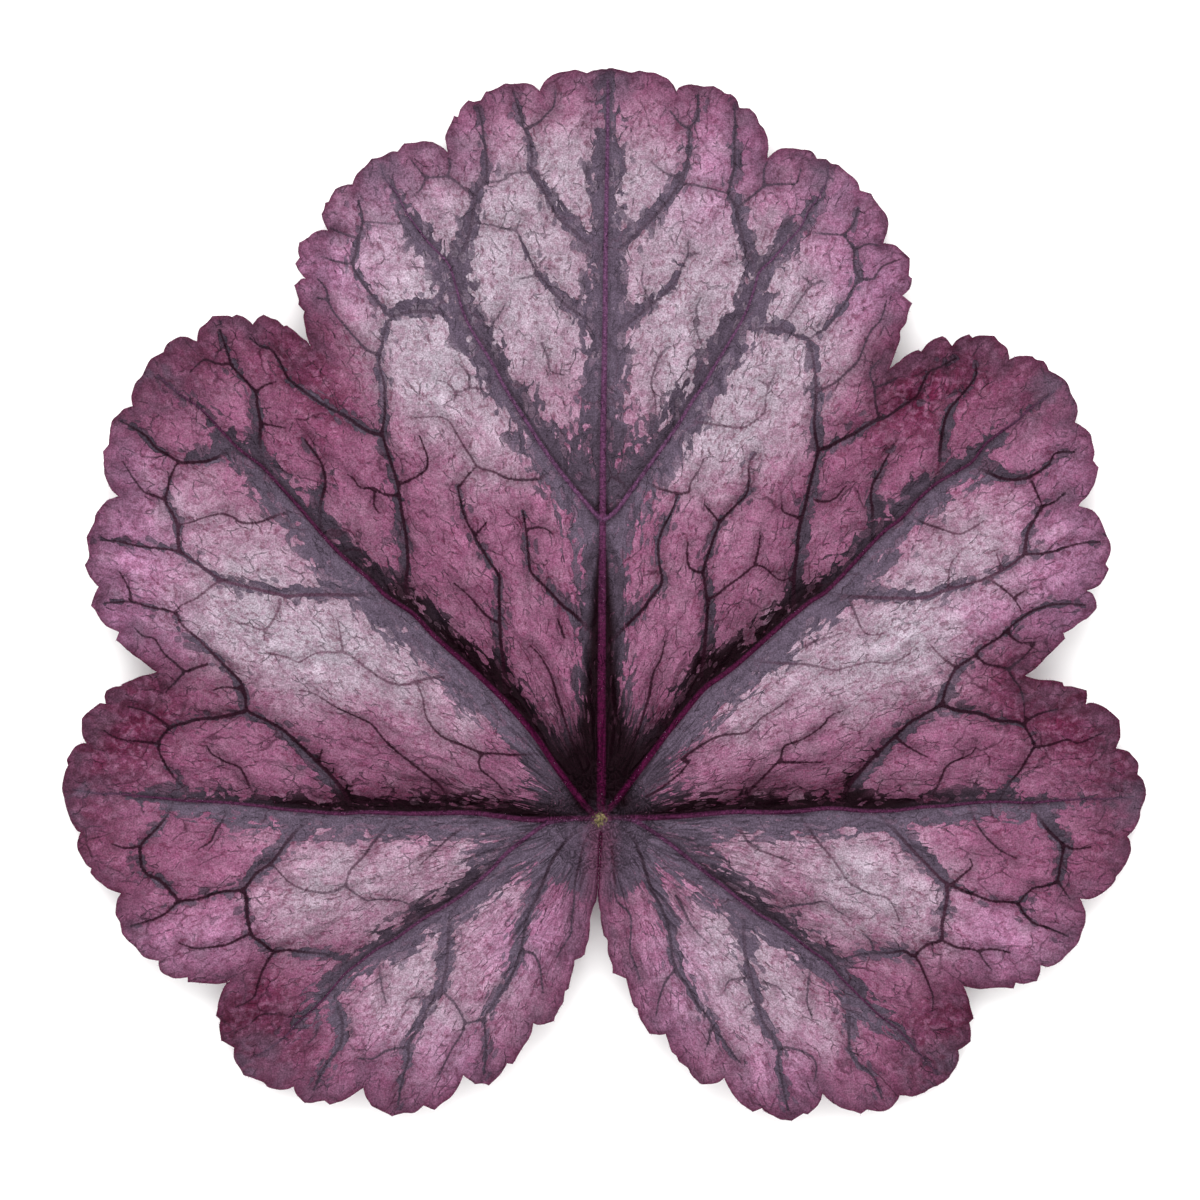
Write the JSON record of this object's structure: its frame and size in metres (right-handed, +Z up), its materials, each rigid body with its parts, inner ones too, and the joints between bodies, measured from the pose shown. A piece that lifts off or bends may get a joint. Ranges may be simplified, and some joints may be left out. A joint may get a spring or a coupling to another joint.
{
  "type": "heuchera leaf",
  "caption": "Picked heuchera leaf lying right side up: rounded lobes cut into small scallops, folded between its main veins, with ribs, raised net and a stub of stalk below",
  "frame": {"origin": "Middle of the leaf's box on the surface that it lies on, which is under the midrib, 22.7 mm from the point where the main veins meet towards the tip", "axes": "+Z up out of the upper face, +Y from the stalk to the tip of the middle lobe, +X across the leaf to the right seen from above"},
  "size_m": [0.1086, 0.1052, 0.0059],
  "materials": {
    "leaf": "satin"
  },
  "bodies": {
    "root": {"leaf": "leaf"}
  },
  "joints": []
}
